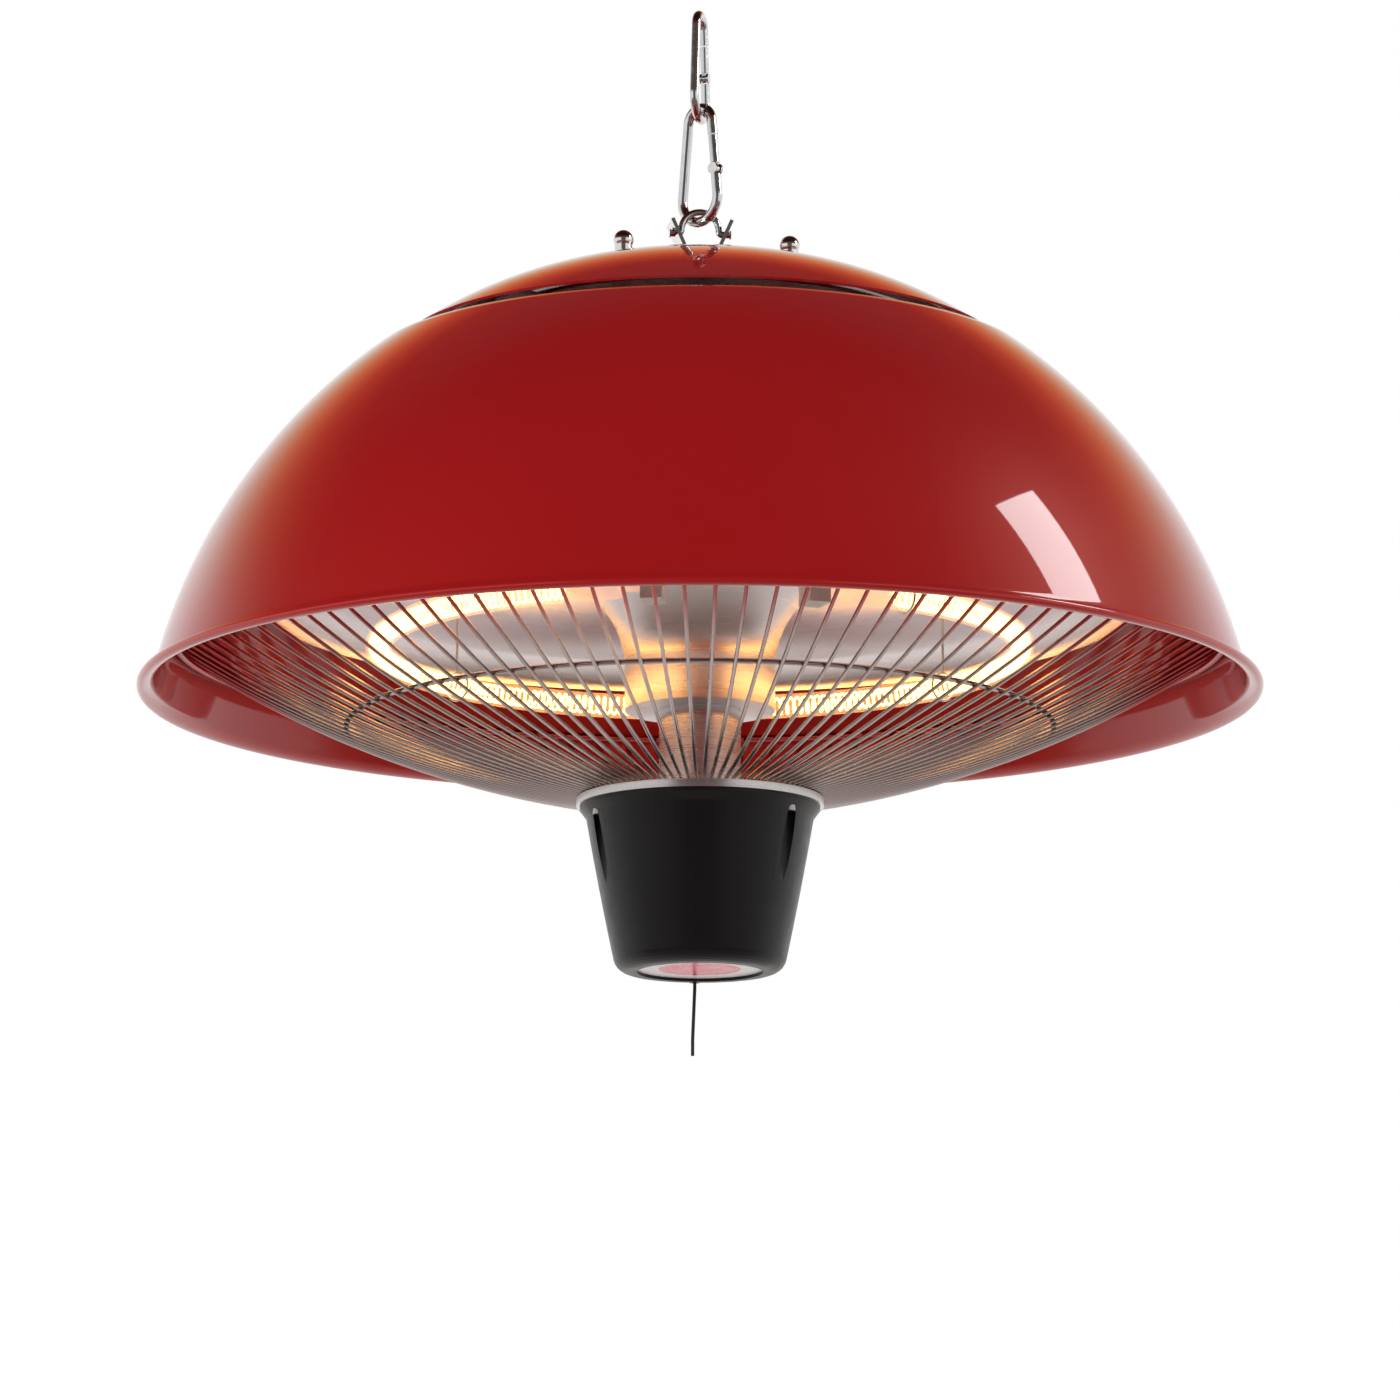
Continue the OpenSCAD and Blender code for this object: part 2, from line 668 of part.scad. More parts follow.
clip_wire_d = 1;
module tube_clips() {
    loop_r = quartz_d / 2 + clip_wire_d / 2 + 0.05;
    stem_top = pan_z(lamp_ring_r) - lamp_z;
    color("silver") at_rim() translate([0, 0, lamp_z]) for (a = clip_angles)
        rotate([0, 0, a]) translate([0, -lamp_ring_r, 0]) {
            rotate([0, 90, 0]) wire_ring(loop_r, clip_wire_d, 48);
            translate([0, 0, loop_r]) cylinder(d = clip_wire_d, h = stem_top - loop_r, $fn = 24);
        }
}

// Leads from the holders up and in to the centre tube
module lamp_leads() {
    d = 1.6;
    low = pan_z(lamp_ring_r - d) + sheet_r_t;
    color([0.85, 0.82, 0.75]) at_rim() lead_angles() {
        translate([0, -lamp_ring_r, low]) cylinder(d = d, h = lead_z - low, $fn = 24);
        translate([0, -lamp_ring_r, lead_z]) sphere(d = d * 1.3, $fn = 24);
        translate([0, -lamp_ring_r, lead_z]) rotate([-90, 0, 0])
            cylinder(d = d, h = lamp_ring_r - tube_d / 2 + tube_wall, $fn = 24);
    }
}

// ---------- guard ----------

guard_chord = guard_out - guard_in;
guard_up = [-guard_chord[1], guard_chord[0]] / norm(guard_chord);
guard_centre = (guard_in + guard_out) / 2
    + guard_up * sqrt(pow(guard_curve_r, 2) - pow(norm(guard_chord) / 2, 2));
function guard_angle(p) = atan2(p[1] - guard_centre[1], p[0] - guard_centre[0]);
function guard_z(r) = guard_centre[1] - sqrt(pow(guard_curve_r, 2) - pow(r - guard_centre[0], 2));

module guard_wires() {
    a0 = guard_angle(guard_in);
    a1 = guard_angle(guard_out);
    color([0.5, 0.42, 0.4]) at_rim() for (i = [0:wire_count - 1]) rotate([0, 0, 360 * (i + 0.5) / wire_count])
        translate([guard_centre[0], 0, guard_centre[1]]) rotate([90, 0, 0]) rotate([0, 0, a0])
            rotate_extrude(angle = a1 - a0, $fn = 720)
                translate([guard_curve_r, 0]) circle(d = wire_d, $fn = 16);
}

weld = 0.1;
module guard_outer_ring() {
    color([0.6, 0.5, 0.48]) at_rim()
        translate([0, 0, guard_out[1]]) wire_ring(guard_r + guard_ring_d / 2 - weld, guard_ring_d);
}

module guard_mid_ring() {
    z = guard_z(guard_mid_r) + (wire_d + guard_mid_d) / 2 - weld;
    color([0.5, 0.42, 0.4]) at_rim() translate([0, 0, z]) wire_ring(guard_mid_r, guard_mid_d);
}

module guard_collar() {
    color([0.75, 0.74, 0.75]) at_rim() translate([0, 0, housing_top_z]) difference() {
        cylinder(r = collar_r, h = collar_h, $fn = fine);
        translate([0, 0, collar_web_t]) cylinder(r = collar_r - collar_rim_w, h = collar_h, $fn = fine);
        translate([0, 0, -1]) cylinder(d = tube_d + 0.2, h = 4, $fn = 64);
        three_fold(housing_turn) translate([0, -channel_ring_r, -1]) cylinder(d = 3, h = 3, $fn = small);
    }
}

// ---------- control housing ----------

fillet_z = housing_bottom_z + bottom_fillet;
fillet_x = housing_centre[0]
    + sqrt(pow(housing_curve_r - bottom_fillet, 2) - pow(fillet_z - housing_centre[1], 2));
fillet_a = atan2(fillet_z - housing_centre[1], fillet_x - housing_centre[0]);

// Outline of the housing's outside, from the top down to the axis
function housing_outside() = concat(
    [[lip_r, housing_top_z], [lip_r, housing_top_z - 1.2]],
    arc(housing_centre, housing_curve_r, -housing_taper, fillet_a, 8),
    arc([fillet_x, fillet_z], bottom_fillet, fillet_a, -90, 6));
function housing_inside() =
    let(r = housing_curve_r - housing_wall, a = arc_angle(housing_centre, r, floor_z))
    concat([[0, floor_z]], arc(housing_centre, r, a, -housing_taper, 8),
           [[housing_r - housing_wall, housing_top_z + 1]]);

module housing_solid() {
    rotate_extrude($fn = fine)
        polygon(concat([[0, housing_top_z]], housing_outside(), [[0, housing_bottom_z]]));
}

boss_r = 5.4;
boss_len = 34;
module housing() {
    color([0.07, 0.07, 0.075]) at_rim() difference() {
        union() {
            difference() {
                housing_solid();
                rotate_extrude($fn = fine) polygon(concat([[0, housing_top_z + 1]], housing_inside()));
            }
            intersection() {
                housing_solid();
                three_fold(housing_turn) translate([0, -channel_ring_r, housing_top_z - boss_len])
                    cylinder(r = boss_r, h = boss_len, $fn = small);
            }
        }
        three_fold(housing_turn) translate([0, -channel_ring_r, 0]) {
            translate([0, 0, housing_bottom_z - 1])
                cylinder(r = channel_r, h = housing_h - lip_h + 1.9, $fn = small);
            translate([0, 0, housing_top_z - 10]) cylinder(d = 3.4, h = 12, $fn = small);
        }
        translate([0, 0, housing_bottom_z - 1]) cylinder(r = window_r, h = housing_wall + 2, $fn = fine);
        translate([cord_x, cord_y, housing_bottom_z - 1])
            cylinder(r = bush_r, h = housing_wall + 2, $fn = small);
    }
}

screw_seat_z = housing_top_z - lip_h + 0.9;
module housing_screws() {
    color("gray") at_rim() three_fold(housing_turn) translate([0, -channel_ring_r, 0]) difference() {
        union() {
            translate([0, 0, screw_seat_z - 2]) cylinder(d = 5.4, h = 2, $fn = small);
            translate([0, 0, screw_seat_z - 2]) cylinder(d = 3, h = 2 + lip_h + collar_web_t, $fn = small);
        }
        translate([-2, -0.4, screw_seat_z - 3]) cube([4, 0.8, 1.8]);
        translate([-0.4, -2, screw_seat_z - 3]) cube([0.8, 4, 1.8]);
    }
}

window_z = housing_bottom_z + window_recess;
window_t = 3;
module window_ring() {
    color([0.95, 0.95, 0.94]) at_rim() translate([0, 0, window_z]) difference() {
        union() {
            cylinder(r = window_r, h = window_t, $fn = fine);
            translate([0, 0, floor_z - window_z]) cylinder(r = window_r + 0.9, h = 1.2, $fn = fine);
        }
        translate([0, 0, -1]) cylinder(r = receiver_r, h = window_t + 2, $fn = fine);
    }
}

module receiver_window() {
    color([0.85, 0.1, 0.15]) at_rim() translate([0, 0, window_z])
        cylinder(r = receiver_r, h = window_t - 0.5, $fn = fine);
}

board_r = 34;
board_t = 1.6;
module control_board() {
    color([0.1, 0.35, 0.15]) at_rim() translate([0, 0, board_z]) difference() {
        cylinder(r = board_r, h = board_t, $fn = 64);
        translate([0, 0, -1]) cylinder(r = 9, h = 4, $fn = small);
    }
}

module relay() {
    color([0.1, 0.15, 0.5]) at_rim() translate([12, -9, board_z + board_t]) cube([15, 18, 14]);
}

module switch_body() {
    color([0.15, 0.15, 0.16]) at_rim() translate([cord_x, cord_y, switch_z]) difference() {
        translate([-7, -8.5, 0]) cube([15, 12, switch_h]);
        translate([0, 0, -1]) cylinder(r = plunger_r + 0.05, h = 10, $fn = small);
        translate([0, 0, switch_floor_t])
            cylinder(r = plunger_head_r + 0.1, h = switch_h - switch_floor_t - 2, $fn = small);
    }
}

module switch_plunger() {
    head_z = spring_z + spring_h;
    color("white") at_rim() translate([cord_x, cord_y, 0]) {
        translate([0, 0, plunger_bottom_z])
            cylinder(r = plunger_r, h = head_z - plunger_bottom_z, $fn = small);
        translate([0, 0, head_z]) cylinder(r = plunger_head_r, h = plunger_head_h, $fn = small);
    }
}

module switch_spring() {
    color("silver") at_rim() translate([cord_x, cord_y, spring_z]) difference() {
        cylinder(r = plunger_head_r - 0.1, h = spring_h, $fn = small);
        translate([0, 0, -1]) cylinder(r = plunger_r + 0.3, h = spring_h + 2, $fn = small);
    }
}

module cord_bush() {
    color([0.12, 0.12, 0.12]) at_rim() translate([cord_x, cord_y, housing_bottom_z]) difference() {
        cylinder(r = bush_r, h = housing_wall + 0.6, $fn = small);
        translate([0, 0, -1]) cylinder(r = bush_bore_r, h = housing_wall + 3, $fn = small);
    }
}

// A tube of n sides swept along a route that runs mostly downward
module cord_tube(route, r, n = 8) {
    m = len(route);
    points = [for (p = route) for (i = [0:n - 1]) p + r * [cos(360 * i / n), sin(360 * i / n), 0]];
    sides = [for (k = [0:m - 2]) for (i = [0:n - 1]) let(j = (i + 1) % n)
        [k * n + i, (k + 1) * n + i, (k + 1) * n + j, k * n + j]];
    ends = [[for (i = [0:n - 1]) i], [for (i = [n - 1:-1:0]) (m - 1) * n + i]];
    polyhedron(points, concat(sides, ends));
}

module pull_cord() { color([0.05, 0.05, 0.05]) at_rim() cord_tube(cord_route, cord_d / 2); }

upper_hook();
upper_gate();
upper_gate_pin();
lower_hook();
lower_gate();
lower_gate_pin();
hanging_bail();
hanger_bracket();
hanger_screw();
dome_nuts();
nut_washers();
cap();
studs();
spacers();
cable_gland();
gland_nut();
terminal_box();
terminal_box_lid();
terminal_block();
mounting_plate();
shade_arms();
shade();
heat_shield();
reflector_struts();
reflector();
reflector_base();
centre_tube();
quartz_ring();
heating_coil();
tube_ends();
end_holders();
tube_clips();
lamp_leads();
guard_outer_ring();
guard_mid_ring();
guard_wires();
guard_collar();
housing();
housing_screws();
window_ring();
receiver_window();
control_board();
relay();
switch_body();
switch_plunger();
switch_spring();
cord_bush();
pull_cord();
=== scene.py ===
"""Looks of a hanging halogen ring heater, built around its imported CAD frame. Metres, +Z up."""
import json
import math

import bmesh
import bpy
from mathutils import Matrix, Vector


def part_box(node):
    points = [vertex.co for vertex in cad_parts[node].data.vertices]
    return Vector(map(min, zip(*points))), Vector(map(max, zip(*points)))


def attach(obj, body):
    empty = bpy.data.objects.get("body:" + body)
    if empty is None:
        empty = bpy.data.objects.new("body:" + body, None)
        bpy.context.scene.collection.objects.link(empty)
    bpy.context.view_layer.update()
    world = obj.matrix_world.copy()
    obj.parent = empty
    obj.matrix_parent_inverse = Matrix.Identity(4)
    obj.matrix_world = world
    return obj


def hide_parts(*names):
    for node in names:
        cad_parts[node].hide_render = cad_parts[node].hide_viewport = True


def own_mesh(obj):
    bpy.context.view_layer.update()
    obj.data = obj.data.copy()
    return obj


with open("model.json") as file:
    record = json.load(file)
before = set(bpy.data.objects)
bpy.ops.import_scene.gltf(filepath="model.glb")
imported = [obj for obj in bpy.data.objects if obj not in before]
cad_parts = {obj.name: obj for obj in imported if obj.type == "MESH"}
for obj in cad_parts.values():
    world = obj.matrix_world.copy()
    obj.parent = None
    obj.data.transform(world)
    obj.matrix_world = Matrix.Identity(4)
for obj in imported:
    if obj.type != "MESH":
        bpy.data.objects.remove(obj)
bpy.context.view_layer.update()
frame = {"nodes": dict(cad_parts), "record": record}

# Lengths named here are in millimetres in the lamp's frame, unless a comment says otherwise.
# Its heights count from a datum plane a little above the lower edge of the shade's rim.
MM = 0.001
RIM_LOW_Z = -2.7
datum_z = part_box("shade")[0].z - RIM_LOW_Z * MM
LAMP = "lamp"


def at(x, y, z):
    """A point given in millimetres in the lamp's frame."""
    return Vector((x * MM, y * MM, datum_z + z * MM))


# ---------- camera ----------

# Distances in metres: in front of the lamp's axis, and below the datum plane
CAMERA_DISTANCE = 2.6
CAMERA_BELOW = 0.495
CAMERA_PITCH = math.radians(10.7)
CAMERA_LENS = 179.56
CAMERA_SENSOR = 36
CAMERA_REACH = 50


def make_camera():
    """Sets the camera at the photograph's viewing angle, looking up a little from below the rim."""
    data = bpy.data.cameras.new("camera")
    data.lens = CAMERA_LENS
    data.sensor_width = CAMERA_SENSOR
    data.clip_end = CAMERA_REACH
    camera = bpy.data.objects.new("camera", data)
    camera.location = (0, -CAMERA_DISTANCE, datum_z - CAMERA_BELOW)
    camera.rotation_euler = (math.pi / 2 + CAMERA_PITCH, 0, 0)
    bpy.context.scene.collection.objects.link(camera)
    bpy.context.scene.camera = camera


# ---------- shared mesh helpers ----------

SHARP_EDGE = 35
SHARP_SHEET_EDGE = 50
TINY = 1e-6


def add_mesh(name, bm, sharp_degrees=SHARP_EDGE):
    """Turns a bmesh into a smooth shaded object whose sharp edges stay sharp."""
    mesh = bpy.data.meshes.new(name)
    bmesh.ops.recalc_face_normals(bm, faces=bm.faces)
    bm.to_mesh(mesh)
    bm.free()
    mesh.shade_smooth()
    mesh.set_sharp_from_angle(angle=math.radians(sharp_degrees))
    piece = bpy.data.objects.new(name, mesh)
    bpy.context.scene.collection.objects.link(piece)
    return piece


def tube(name, points, radius, sides=10, closed=False):
    """A round tube along a line of points, with flat ends unless it is closed."""
    bm = bmesh.new()
    count = len(points)
    rings = []
    side = None
    for i, point in enumerate(points):
        before = points[i - 1] if i or closed else point
        after = points[(i + 1) % count] if i < count - 1 or closed else point
        along = (after - before).normalized()
        if side is None:
            side = along.orthogonal().normalized()
        side = (side - along * side.dot(along)).normalized()
        across = along.cross(side)
        ring = []
        for k in range(sides):
            a = 2 * math.pi * k / sides
            outward = math.cos(a) * side + math.sin(a) * across
            ring.append(bm.verts.new(point + radius * outward))
        rings.append(ring)
    for i in range(count if closed else count - 1):
        low, high = rings[i], rings[(i + 1) % count]
        for k in range(sides):
            n = (k + 1) % sides
            bm.faces.new((low[k], low[n], high[n], high[k]))
    if not closed:
        bm.faces.new(list(reversed(rings[0])))
        bm.faces.new(rings[-1])
    return add_mesh(name, bm)


def arc(centre, radius, start, end, steps):
    """Points of an arc in a profile of (radius, height), angles in degrees."""
    points = []
    for i in range(steps + 1):
        a = math.radians(start + (end - start) * i / steps)
        points.append((centre[0] + radius * math.cos(a), centre[1] + radius * math.sin(a)))
    return points


def arc_x(centre, radius, z):
    """Where a profile arc lies at a given height."""
    return centre[0] + math.sqrt(radius ** 2 - (z - centre[1]) ** 2)


def arc_angle(centre, radius, z):
    """The angle of that place, in degrees."""
    return math.degrees(math.asin((z - centre[1]) / radius))


def lathe(name, outline, segments=288):
    """Turns a closed outline of (radius, height) in millimetres about the lamp's axis."""
    bm = bmesh.new()
    columns = []
    poles = {}
    for k in range(segments):
        a = 2 * math.pi * k / segments
        column = []
        for i, (r, z) in enumerate(outline):
            if r < TINY:
                if i not in poles:
                    poles[i] = bm.verts.new(at(0, 0, z))
                column.append(poles[i])
            else:
                column.append(bm.verts.new(at(r * math.cos(a), r * math.sin(a), z)))
        columns.append(column)
    for k in range(segments):
        one, two = columns[k], columns[(k + 1) % segments]
        for i in range(len(outline)):
            j = (i + 1) % len(outline)
            corners = []
            for corner in (one[i], two[i], two[j], one[j]):
                if corner not in corners:
                    corners.append(corner)
            if len(corners) > 2:
                bm.faces.new(corners)
    return add_mesh(name, bm, SHARP_SHEET_EDGE)


def drill(piece, holes):
    """Cuts upright round holes, given as (x, y, low z, high z, diameter) in millimetres."""
    for x, y, low_z, high_z, diameter in holes:
        bm = bmesh.new()
        radius = diameter / 2 * MM
        bmesh.ops.create_cone(bm, cap_ends=True, segments=48, radius1=radius, radius2=radius,
                              depth=(high_z - low_z) * MM)
        bmesh.ops.translate(bm, verts=bm.verts, vec=at(x, y, (low_z + high_z) / 2))
        cutter = add_mesh("cutter", bm)
        cut = piece.modifiers.new("cut", "BOOLEAN")
        cut.operation = "DIFFERENCE"
        cut.object = cutter
        seen = piece.evaluated_get(bpy.context.evaluated_depsgraph_get())
        mesh = bpy.data.meshes.new_from_object(seen)
        piece.modifiers.clear()
        piece.data = mesh
        bpy.data.objects.remove(cutter)
    piece.data.shade_smooth()
    piece.data.set_sharp_from_angle(angle=math.radians(SHARP_SHEET_EDGE))


def on_ring(radius, degrees, z):
    """A point of a ring in the lamp's frame. Angle 0 faces -Y and grows towards +X."""
    a = math.radians(degrees)
    return at(radius * math.sin(a), -radius * math.cos(a), z)


# ---------- node helpers ----------

def split_axes(nodes, links, source):
    """The X, Y and Z outputs of a vector."""
    node = nodes.new("ShaderNodeSeparateXYZ")
    links.new(source, node.inputs[0])
    return node.outputs


def ramp(nodes, links, source, low, high, start, end):
    """Goes smoothly from level start, where source is low, to level end, where it is high."""
    node = nodes.new("ShaderNodeMapRange")
    node.interpolation_type = "SMOOTHSTEP"
    node.inputs["From Min"].default_value = low
    node.inputs["From Max"].default_value = high
    node.inputs["To Min"].default_value = start
    node.inputs["To Max"].default_value = end
    links.new(source, node.inputs["Value"])
    return node.outputs["Result"]


def combine(nodes, links, operation, *sources):
    """The result of one maths operation on linked values."""
    node = nodes.new("ShaderNodeMath")
    node.operation = operation
    for source, socket in zip(sources, node.inputs):
        links.new(source, socket)
    return node.outputs[0]


# ---------- materials ----------

# A noise texture stays mostly between these two values
NOISE_LOW = 0.3
NOISE_HIGH = 0.7


class Material:
    """A Principled material with helpers for the small irregularities of real surfaces."""

    def __init__(self, name, colour, roughness, metallic=0.0, **sockets):
        self.material = bpy.data.materials.new(name)
        self.material.use_nodes = True
        self.nodes = self.material.node_tree.nodes
        self.links = self.material.node_tree.links
        self.shader = self.nodes["Principled BSDF"]
        self.colour = (*colour, 1)
        self.shader.inputs["Base Color"].default_value = self.colour
        self.shader.inputs["Roughness"].default_value = roughness
        self.shader.inputs["Metallic"].default_value = metallic
        for socket, value in sockets.items():
            self.shader.inputs[socket.replace("_", " ")].default_value = value
        self.place = self.nodes.new("ShaderNodeTexCoord").outputs["Object"]

    def turned(self, fineness):
        """Coordinates for turning lines: they follow the distance from the axis and the height."""
        axes = split_axes(self.nodes, self.links, self.place)
        flat = self.nodes.new("ShaderNodeCombineXYZ")
        self.links.new(axes["X"], flat.inputs["X"])
        self.links.new(axes["Y"], flat.inputs["Y"])
        length = self.nodes.new("ShaderNodeVectorMath")
        length.operation = "LENGTH"
        self.links.new(flat.outputs[0], length.inputs[0])
        scaled = self.nodes.new("ShaderNodeCombineXYZ")
        for source, target in ((length.outputs["Value"], "X"), (axes["Z"], "Z")):
            times = self.nodes.new("ShaderNodeMath")
            times.operation = "MULTIPLY"
            times.inputs[1].default_value = fineness
            self.links.new(source, times.inputs[0])
            self.links.new(times.outputs[0], scaled.inputs[target])
        return scaled.outputs[0]

    def noise(self, scale, detail=3.0, where=None):
        """A noise pattern. A larger scale makes it finer."""
        node = self.nodes.new("ShaderNodeTexNoise")
        node.inputs["Scale"].default_value = scale
        node.inputs["Detail"].default_value = detail
        self.links.new(where or self.place, node.inputs["Vector"])
        return node.outputs["Fac"]

    def vary_roughness(self, source, low, high):
        """Lets the roughness follow a noise pattern between two values."""
        node = self.nodes.new("ShaderNodeMapRange")
        node.inputs["From Min"].default_value = NOISE_LOW
        node.inputs["From Max"].default_value = NOISE_HIGH
        node.inputs["To Min"].default_value = low
        node.inputs["To Max"].default_value = high
        self.links.new(source, node.inputs["Value"])
        self.links.new(node.outputs["Result"], self.shader.inputs["Roughness"])
        return self

    def vary_colour(self, source, other, low=0.35, high=0.65):
        """Blends from the base colour, where source is low, to another, where it is high."""
        node = self.nodes.new("ShaderNodeValToRGB")
        first, last = node.color_ramp.elements
        first.position = low
        first.color = self.colour
        last.position = high
        last.color = (*other, 1)
        self.links.new(source, node.inputs["Fac"])
        self.links.new(node.outputs["Color"], self.shader.inputs["Base Color"])
        return self

    def bump(self, source, height_mm, strength=1.0):
        """Adds relief on top of any bump that the material already has."""
        node = self.nodes.new("ShaderNodeBump")
        node.inputs["Strength"].default_value = strength
        node.inputs["Distance"].default_value = height_mm * MM
        self.links.new(source, node.inputs["Height"])
        earlier = self.shader.inputs["Normal"].links
        if earlier:
            self.links.new(earlier[0].from_socket, node.inputs["Normal"])
        self.links.new(node.outputs["Normal"], self.shader.inputs["Normal"])
        return self


def red_enamel():
    """Glossy enamel under a clear coat, with the slow waviness of a dipped sheet."""
    m = Material("red_enamel", (0.43, 0.011, 0.013), 0.42, Coat_Weight=1.0, Coat_Roughness=0.03,
                 Coat_IOR=1.45, Specular_IOR_Level=0.4, Specular_Tint=(1.0, 0.22, 0.1, 1))
    m.vary_colour(m.noise(9), (0.445, 0.0115, 0.0135))
    m.vary_roughness(m.noise(30), 0.4, 0.46)
    m.bump(m.noise(28, 1), 0.05, 0.35)
    return m.bump(m.noise(75, 1), 0.035, 0.35)


def plated_wire():
    m = Material("plated_wire", (0.74, 0.74, 0.75), 0.12, 1.0)
    m.vary_roughness(m.noise(400), 0.07, 0.2)
    m.vary_colour(m.noise(120), (0.66, 0.66, 0.66))
    return m.bump(m.noise(900, 4), 0.02, 0.3)


def polished_steel():
    m = Material("polished_steel", (0.76, 0.75, 0.74), 0.1, 1.0)
    m.vary_roughness(m.noise(500), 0.06, 0.16)
    return m.bump(m.noise(1200, 3), 0.01, 0.25)


def zinc():
    m = Material("zinc", (0.6, 0.6, 0.6), 0.35, 1.0)
    m.vary_colour(m.noise(180, 5), (0.45, 0.46, 0.47))
    return m.vary_roughness(m.noise(300), 0.25, 0.5)


def moulded_black(name, shade=0.012, low=0.4, high=0.5):
    m = Material(name, (shade, shade, shade * 1.1), 0.4, Specular_IOR_Level=0.3)
    m.vary_roughness(m.noise(200), low, high)
    return m.bump(m.noise(1800, 2), 0.02, 0.35)


def ceramic():
    m = Material("ceramic", (0.86, 0.84, 0.78), 0.6)
    m.vary_colour(m.noise(220, 5), (0.76, 0.73, 0.66))
    return m.bump(m.noise(900, 4), 0.05, 0.5)


GROOVES_PER_METRE = 2600


def spun_aluminium(name, colour, low, high, spread=0.0):
    """Turned aluminium, whose fine grooves smear each reflection across them."""
    m = Material(name, colour, low, 1.0, Anisotropic=spread)
    lines = m.noise(1, 3, m.turned(GROOVES_PER_METRE))
    m.vary_roughness(lines, low, high)
    if spread:
        tangent = m.nodes.new("ShaderNodeTangent")
        tangent.direction_type = "RADIAL"
        tangent.axis = "Z"
        m.links.new(tangent.outputs[0], m.shader.inputs["Tangent"])
    return m.bump(lines, 0.02, 0.5)


def quartz():
    m = Material("quartz", (1, 1, 1), 0.03, IOR=1.45, Alpha=0.16,
                 Emission_Color=(1, 0.3, 0.03, 1), Emission_Strength=1.2)
    return m.vary_roughness(m.noise(120), 0.01, 0.06)


def glowing_coil():
    colour = (1, 0.62, 0.22)
    m = Material("glowing_coil", colour, 0.5,
                 Emission_Color=(*colour, 1), Emission_Strength=4.5)
    return m.vary_colour(m.noise(300), (0.9, 0.45, 0.12))


def glass_braid():
    m = Material("glass_braid", (0.8, 0.77, 0.7), 0.8)
    m.vary_colour(m.noise(900), (0.65, 0.62, 0.55))
    return m.bump(m.noise(2500), 0.1, 0.6)


# Heights between which the guard's wires turn from plain to red, a painted reflection of the red
# shade above them
PAINTED_RED_LOW_Z = -12
PAINTED_RED_HIGH_Z = 6


def guard_wire():
    """Steel wire, plain further down and with a painted reflection higher up: its colour turns red
    near the shade that it mirrors.
    """
    m = Material("guard_wire", (0.42, 0.37, 0.355), 0.25, 1.0)
    height = split_axes(m.nodes, m.links, m.place)["Z"]
    # Painted reflection: the base colour turns red with height, standing in for the red shade that
    # the wires mirror
    painted_reflection = ramp(m.nodes, m.links, height, at(0, 0, PAINTED_RED_LOW_Z).z, at(0, 0, PAINTED_RED_HIGH_Z).z, 0.0, 1.0)
    m.vary_colour(painted_reflection, (0.4, 0.07, 0.07), 0, 1)
    return m.vary_roughness(m.noise(90), 0.18, 0.3)


def white_moulding():
    m = Material("white_moulding", (0.9, 0.9, 0.89), 0.35,
                 Subsurface_Weight=0.2, Subsurface_Scale=0.002)
    m.vary_roughness(m.noise(150), 0.3, 0.4)
    return m.bump(m.noise(1500), 0.01, 0.2)


def red_lens():
    m = Material("red_lens", (0.8, 0.1, 0.14), 0.25,
                 Subsurface_Weight=0.3, Subsurface_Scale=0.003)
    m.vary_colour(m.noise(90), (0.86, 0.16, 0.2))
    return m.vary_roughness(m.noise(150), 0.2, 0.32)


def circuit_board():
    m = Material("circuit_board", (0.03, 0.2, 0.07), 0.3)
    return m.vary_colour(m.noise(500, 1), (0.05, 0.3, 0.11), 0.48, 0.52)


def relay_blue():
    m = Material("relay_blue", (0.03, 0.06, 0.3), 0.35)
    return m.bump(m.noise(1200), 0.03, 0.3)


def braided_cord():
    m = Material("braided_cord", (0.012, 0.012, 0.013), 0.75, Sheen_Weight=0.3)
    wave = m.nodes.new("ShaderNodeTexWave")
    wave.wave_type = "BANDS"
    wave.bands_direction = "DIAGONAL"
    wave.inputs["Scale"].default_value = 700
    m.links.new(m.place, wave.inputs["Vector"])
    m.vary_colour(wave.outputs["Fac"], (0.03, 0.03, 0.032))
    return m.bump(wave.outputs["Fac"], 0.12, 0.7)


def dress():
    """Gives every CAD node the material of its slot. The Blender pieces use the same ones."""
    makes = {
        "hook_steel": plated_wire(),
        "bright_steel": polished_steel(),
        "red_enamel": red_enamel(),
        "zinc_steel": zinc(),
        "black_plastic": moulded_black("moulded_black"),
        "housing_black": moulded_black("housing_black", 0.006, 0.32, 0.4),
        "ceramic": ceramic(),
        "polished_aluminium": spun_aluminium("polished_aluminium", (0.86, 0.83, 0.83), 0.26, 0.34,
                                             0.9),
        "bare_aluminium": spun_aluminium("bare_aluminium", (0.72, 0.7, 0.69), 0.22, 0.38),
        "quartz": quartz(),
        "hot_filament": glowing_coil(),
        "lead_braid": glass_braid(),
        "guard_steel": guard_wire(),
        "white_plastic": white_moulding(),
        "red_lens": red_lens(),
        "circuit_board": circuit_board(),
        "relay_blue": relay_blue(),
        "black_cord": braided_cord(),
    }
    for part in frame["record"]["subparts"]:
        node = frame["nodes"][part["node"]]
        node.data.materials.clear()
        node.data.materials.append(makes[part["material_slot"]].material)
    return makes


def own(piece, makes, slot, body, *nodes):
    """Finishes a Blender piece: its material, its body and the CAD nodes it stands for."""
    piece.data.materials.append(makes[slot].material)
    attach(piece, body)
    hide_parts(*nodes)


# ---------- pull cord ----------

